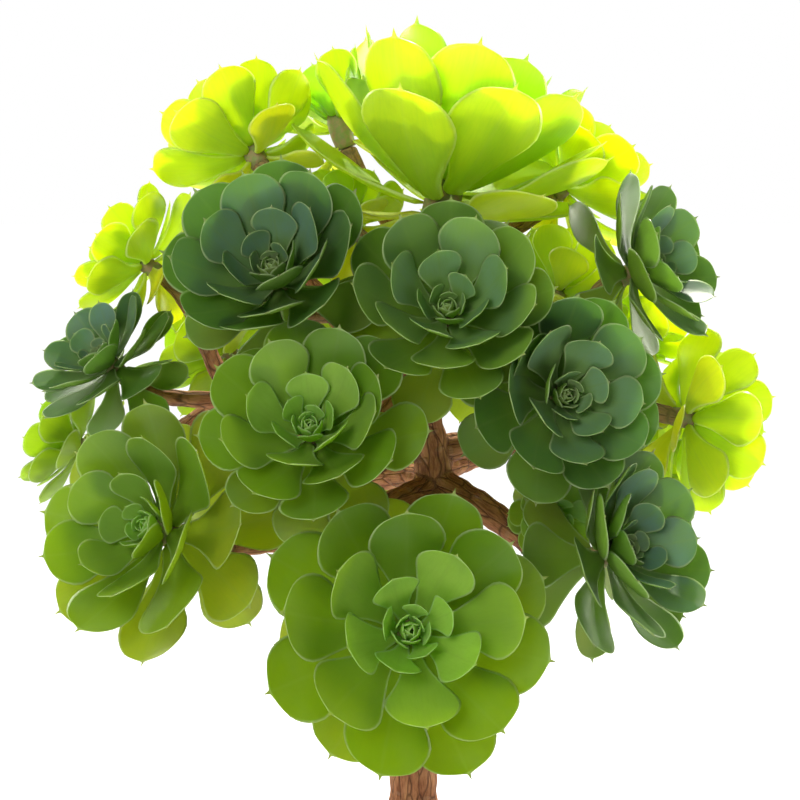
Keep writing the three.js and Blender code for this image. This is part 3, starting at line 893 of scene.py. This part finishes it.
def width_share(head):
    """The leaves of a large head are slimmer."""
    return LEAF_WIDTH_SHARE * min(1, (SLIM_FROM / head.reach) ** SLIM_POWER)


def wobble(number, index, kind):
    """From -1 to 1, the same in the solids: how far a leaf strays from the rule."""
    step = WOBBLE_STEPS["head"] * number + WOBBLE_STEPS["leaf"] * index
    return math.sin(step + WOBBLE_STEPS["kind"] * kind)


class Leaf:
    """One leaf of a head by its place in the spiral, which is negative below the solids' oldest leaf."""

    def __init__(self, head, number, index, bend):
        close, shorten = bend
        axis, right, up = (np.array(v) for v in head_frame(head.facing))
        self.young = index / (FULL_COUNT - 1)
        inside = min(max(self.young, 0), 1)
        grown = 1 / (1 + math.exp((self.young - head.middle) / YOUNG_SPREAD))
        opened = OLDEST_OPEN * (1 - inside**OPEN_POWER) * head.open
        opened += DROOP * math.exp(-max(index, 0) / DROOP_FADE)
        height = head_depth(inside) * head.reach
        core = core_share(inside) * head.reach
        length = head.reach * (SHORTEST_SHARE + (LONGEST_SHARE - SHORTEST_SHARE) * grown)
        if index < 0:
            below = -index / (SKIRT_COUNT + 1)
            opened += -SKIRT_DROOP * index
            height = -below * NECK_SHARE * head.reach
            core += below * (twig_radius(head) - core)
            length *= SKIRT_LENGTH
        if index >= FULL_COUNT:
            opened -= BUD_CLOSE * (index - FULL_COUNT + 1)
        opened += WOBBLE["open"] * wobble(number, index, 2)
        turn = math.radians(head.turn + WOBBLE["turn"] * wobble(number, index, 1))
        turn += head.hand * index * GOLDEN_ANGLE
        self.length = length * (1 + WOBBLE["length"] * wobble(number, index, 3)) * shorten
        self.roll = math.radians(WOBBLE["roll"] * wobble(number, index, 4))
        least = LEAST_OPEN if index < SOLID_COUNT else BUD_LEAST_OPEN
        self.first = math.radians(max(opened - close, least)) + LEAF_CURL / 2
        self.thick = (LEAF_THICK_BASE + LEAF_THICK_SHARE * head.reach) * (1 - LEAF_THIN_YOUNG * inside)
        youth = min(max(self.young - BROAD_FROM, 0) / (1 - BROAD_FROM), 1)
        self.solid_half = self.length * width_share(head) / 2
        self.half = self.solid_half * (1 + YOUNG_BROAD * youth)
        self.dish = LEAF_DISH * (1 + YOUNG_DISH * youth)
        self.axis = axis
        self.outwards = right * math.cos(turn) + up * math.sin(turn)
        self.across = np.cross(axis, self.outwards)
        self.foot = np.array(head.root) + axis * height + self.outwards * core
        self.sink = self.outwards * ROOT_SINK * core

    def place(self, share, out, rise):
        """Where a point lies that is a share along the blade, so far out from its midline and above it."""
        share, out, rise = (np.asarray(value, dtype=float) for value in (share, out, rise))
        angle = self.first - LEAF_CURL * share
        forth = self.length * (np.cos(angle) - math.cos(self.first)) / LEAF_CURL
        lift = self.length * (math.sin(self.first) - np.sin(angle)) / LEAF_CURL
        beside = out * math.cos(self.roll) - rise * math.sin(self.roll)
        above = out * math.sin(self.roll) + rise * math.cos(self.roll)
        forth = forth - above * np.cos(angle)
        lift = lift + above * np.sin(angle)
        pairs = ((forth, self.outwards), (lift, self.axis), (beside, self.across))
        return sum((np.multiply.outer(*pair) for pair in pairs), start=self.foot)

    def solid_marks(self):
        """The blade's outer corners in the solids."""
        share = np.array([mark[0] for mark in SOLID_MARKS])
        wide = self.solid_half * np.array([mark[1] for mark in SOLID_MARKS])
        return self.place(share, wide, LEAF_DISH * np.abs(wide))

    def blade(self, draw):
        """Its root point, the rings round it and its tip point, with the marks that the material reads."""
        wide = self.half * along_table(OUTLINE, RING_SHARES)
        deep = self.thick * along_table(DEPTHS, RING_SHARES)
        sides = np.concatenate([TOP_SHARES, TOP_SHARES[-2:0:-1]])
        under = np.concatenate([np.zeros(len(TOP_SHARES)), np.ones(len(TOP_SHARES) - 2)])
        size = np.abs(sides)
        phases = [draw.uniform(0, 2 * math.pi) for _ in range(3)]
        wave = RIPPLE * self.half * np.sin(RIPPLE_WAVES * RING_SHARES + phases[0])
        uneven = UNEVEN * np.sin(UNEVEN_WAVES * RING_SHARES + phases[1])
        lean = LEAN * self.half * math.sin(phases[2])
        dish = np.multiply.outer(self.dish * wide, DISH_FLAT + (1 - DISH_FLAT) * size**DISH_POWER)
        crease = np.multiply.outer(CREASE * deep, np.exp(-((sides / CREASE_WIDTH) ** 2)))
        belly = np.multiply.outer(deep, (1 - size**RIM_POWER) ** 0.5) * under
        ripple = np.multiply.outer(wave, np.sign(sides) * size**RIPPLE_POWER)
        out = np.multiply.outer(wide * (1 + uneven), sides)
        out += np.multiply.outer(lean * RING_SHARES**2, np.ones_like(sides))
        rise = dish - crease + ripple - belly
        share = np.broadcast_to(RING_SHARES[:, None], out.shape)
        rings = self.place(share, out, rise)
        root_point = self.foot - self.sink
        tip_point = self.place(1 + POINT_LENGTH, lean, -POINT_DROP * self.thick)
        points = np.concatenate([root_point[None], rings.reshape(-1, 3), tip_point[None]])
        rim = np.minimum(np.multiply.outer(wide, 1 - size), self.length * (1 - share))
        apart = np.full(out.shape, VEINS_APART * phases[0])
        way = np.stack([share * self.length, out, apart], axis=-1).reshape(-1, 3) * MM
        marks = {
            "along": np.concatenate([[0], share.ravel(), [1]]),
            "rim": np.concatenate([[ROOT_RIM], rim.ravel(), [0]]),
            "middle": np.concatenate([[0], np.tile(size, len(RING_SHARES)), [0]]),
            "under": np.concatenate([[0.5], np.tile(under, len(RING_SHARES)), [0.5]]),
            "leaf_way": np.concatenate([way[:1], way, way[-1:]]),
        }
        return points, marks


def blade_faces():
    """Faces of one blade, over the points that Leaf.blade gives."""
    ring = 2 * len(TOP_SHARES) - 2
    last = 1 + ring * len(RING_SHARES)
    faces = []
    for side in range(ring):
        after = (side + 1) % ring
        faces.append((0, 1 + after, 1 + side))
        faces.append((last, last - ring + side, last - ring + after))
        for row in range(len(RING_SHARES) - 1):
            low = 1 + row * ring
            faces.append((low + side, low + after, low + ring + after, low + ring + side))
    return faces


BLADE_FACES = blade_faces()


def neck_points(head):
    """The twig end that the leaves stand on: it swells under them and narrows into the bud."""
    axis, right, up = head_frame(head.facing)
    neck = NECK_SHARE * head.reach
    twig = twig_radius(head)
    core = core_share(0) * head.reach
    profile = [(0, -neck), (twig, -neck), (twig * NECK_BAND, -0.7 * neck)]
    profile.append((0.5 * (twig + core), -0.35 * neck))
    for young in NECK_AGES:
        profile.append((NECK_FIT * core_share(young) * head.reach, head_depth(young) * head.reach))
    profile.append((0, (head_depth(1) + NECK_POINT) * head.reach))
    points, faces = lathe(profile, NECK_SIDES)
    placed = [Vector(head.root) + x * right + y * up + z * axis for x, y, z in points]
    return [tuple(p) for p in placed], faces


def solid_bend(head, number, index, corners):
    """The bend of the solids' leaf, found by where its corners are. None if the solids lack the leaf."""
    best = (FOUND_WITHIN, None)
    for bend in BEND_STEPS:
        marks = Leaf(head, number, index, bend).solid_marks()
        apart = sorted(corners.find(Vector(mark))[2] for mark in marks)
        best = min(best, (apart[MARKS_FOUND - 1], bend), key=lambda found: found[0])
    return best[1]


def clear_bend(head, number, index, bends, draw, neighbours):
    """The first bend that keeps a leaf which the solids lack clear of the other heads and the stem."""
    state = draw.getstate()
    for bend in bends:
        points, _ = Leaf(head, number, index, bend).blade(draw)
        draw.setstate(state)
        if not BVHTree.FromPolygons(points.tolist(), BLADE_FACES).overlap(neighbours):
            return bend
    return None


def make_head(head, number, node, neighbours, materials):
    """One head: the solid's leaves, bent as they are there, the younger ones and the old skirt."""
    corners = KDTree(len(node.data.vertices))
    for vertex in node.data.vertices:
        corners.insert(vertex.co / MM, vertex.index)
    corners.balance()
    draw = random.Random(number)

    points, faces = neck_points(head)
    neck_faces = len(faces)
    blank = len(points)
    marks = {key: [0.0] * blank for key in ("young", "tone", "along", "rim", "middle", "under")}
    marks["leaf_way"] = [(0, 0, 0)] * blank
    for index in range(-SKIRT_COUNT, FULL_COUNT + BUD_COUNT):
        if 0 <= index < SOLID_COUNT:
            bend = solid_bend(head, number, index, corners)
        else:
            bends = SKIRT_BENDS if index < 0 else BEND_STEPS
            bend = clear_bend(head, number, index, bends, draw, neighbours)
        if bend is None:
            continue
        leaf = Leaf(head, number, index, bend)
        blade, blade_marks = leaf.blade(draw)
        first = len(points)
        points.extend(map(tuple, blade))
        faces.extend(tuple(first + corner for corner in face) for face in BLADE_FACES)
        for key, values in blade_marks.items():
            marks[key].extend(values)
        marks["young"].extend([min(leaf.young, 1) - AGED.get(head.name, 0)] * len(blade))
        marks["tone"].extend([draw.random()] * len(blade))

    thing = mesh_object("leaves_" + head.name, points, faces)
    # Each head's painted shade: how much bluer its leaves are painted and how much dimmer their light through
    marks["painted_shade_blue"], marks["painted_shade_dim"] = ([value] * len(points) for value in PAINTED_SHADE_HEADS.get(head.name, OPEN_SKY))
    for key, values in marks.items():
        add_attribute(thing, key, values, "FLOAT_VECTOR" if key == "leaf_way" else "FLOAT")
    finish_piece(thing, "leaf", materials["leaf"], node.name)
    thing.data.materials.append(materials["neck"])
    for polygon in thing.data.polygons[:neck_faces]:
        polygon.material_index = 1


def neighbour_tree(nodes, own):
    """The triangles of every other head and of the stem, for a head to keep its added leaves clear of."""
    points, faces = [], []
    for name, node in nodes.items():
        if name == own or not (name.startswith("head_") or name == "stem"):
            continue
        first = len(points)
        points.extend(vertex.co / MM for vertex in node.data.vertices)
        faces.extend(tuple(first + v for v in polygon.vertices) for polygon in node.data.polygons)
    return BVHTree.FromPolygons(points, faces)


# Stage: floor, sky and lights


def make_floor():
    points = [(FLOOR_REACH * x, FLOOR_REACH * y, 0) for x, y in ((-1, -1), (1, -1), (1, 1), (-1, 1))]
    floor = mesh_object("floor", points, [(0, 1, 2, 3)], smooth=False)
    n = Nodes("pale_floor")
    floor.data.materials.append(n.set(Base_Color=FLOOR_COLOUR, Roughness=0.9, Specular_IOR_Level=0.1))


def background(tree, colour, strength):
    node = tree.nodes.new("ShaderNodeBackground")
    node.inputs["Color"].default_value = colour
    node.inputs["Strength"].default_value = strength
    return node.outputs[0]


def make_world():
    """A pale sky: it shows white behind the plant, and lights it more softly than it looks."""
    world = bpy.data.worlds.new("sky")
    bpy.context.scene.world = world
    world.use_nodes = True
    tree = world.node_tree
    tree.nodes.clear()
    path = tree.nodes.new("ShaderNodeLightPath")
    blend = tree.nodes.new("ShaderNodeMixShader")
    out = tree.nodes.new("ShaderNodeOutputWorld")
    tree.links.new(path.outputs["Is Camera Ray"], blend.inputs[0])
    tree.links.new(background(tree, SKY_COLOUR, SKY_LIGHT), blend.inputs[1])
    tree.links.new(background(tree, (1, 1, 1, 1), 1), blend.inputs[2])
    tree.links.new(blend.outputs[0], out.inputs[0])


def aimed(light, place, target):
    """Puts a light at a place in metres, shining at the target."""
    thing = bpy.data.objects.new(light.name, light)
    bpy.context.scene.collection.objects.link(thing)
    thing.location = place
    thing.rotation_euler = (Vector(place) - target).to_track_quat("Z", "Y").to_euler()


def make_sun():
    """The light that shines through the top leaves from above and behind."""
    light = bpy.data.lights.new("sun", "SUN")
    light.energy = SUN_STRENGTH
    light.angle = math.radians(SUN_WIDTH)
    light.color = SUN_COLOUR
    aimed(light, CAMERA_TARGET + Vector(SUN_WAY), CAMERA_TARGET)


def make_top_light():
    """A narrow light from high behind, which reaches into the topmost head."""
    light = bpy.data.lights.new("top_light", "SPOT")
    light.energy = TOP_LIGHT_POWER
    light.spot_size = math.radians(TOP_LIGHT_CONE)
    light.spot_blend = TOP_LIGHT_EDGE
    light.shadow_soft_size = TOP_LIGHT_SIZE
    light.color = TOP_LIGHT_COLOUR
    aimed(light, TOP_LIGHT_PLACE, Vector(TOP_LIGHT_TARGET))


def make_soft_lights():
    """Soft light from the camera's side, and a glow from behind at either side."""
    for soft in SOFT_LIGHTS:
        light = bpy.data.lights.new(soft.name, "AREA")
        light.energy = soft.power
        light.size = soft.size
        light.color = soft.colour
        aimed(light, soft.place, CAMERA_TARGET)


def make_camera():
    camera = bpy.data.cameras.new("camera")
    camera.sensor_width = SENSOR_WIDTH
    camera.lens = SENSOR_WIDTH / 2 / math.tan(CAMERA_FIELD / 2)
    thing = bpy.data.objects.new("camera", camera)
    bpy.context.scene.collection.objects.link(thing)
    back = Vector((0, -math.cos(CAMERA_ELEVATION), math.sin(CAMERA_ELEVATION)))
    thing.location = CAMERA_TARGET + CAMERA_DISTANCE * back
    thing.rotation_euler = back.to_track_quat("Z", "Y").to_euler()
    bpy.context.scene.camera = thing


# The whole scene


def main():
    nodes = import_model()["nodes"]
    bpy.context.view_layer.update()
    make_camera()
    make_pot(clay_material())
    make_soil(soil_material())
    make_stem(bark_material())
    materials = {"leaf": leaf_material(), "neck": neck_material()}
    for number, head in enumerate(HEADS):
        own = "head_" + head.name
        make_head(head, number, nodes[own], neighbour_tree(nodes, own), materials)
    make_floor()
    make_world()
    make_sun()
    make_top_light()
    make_soft_lights()
    bpy.context.scene.view_settings.view_transform = "Standard"


main()
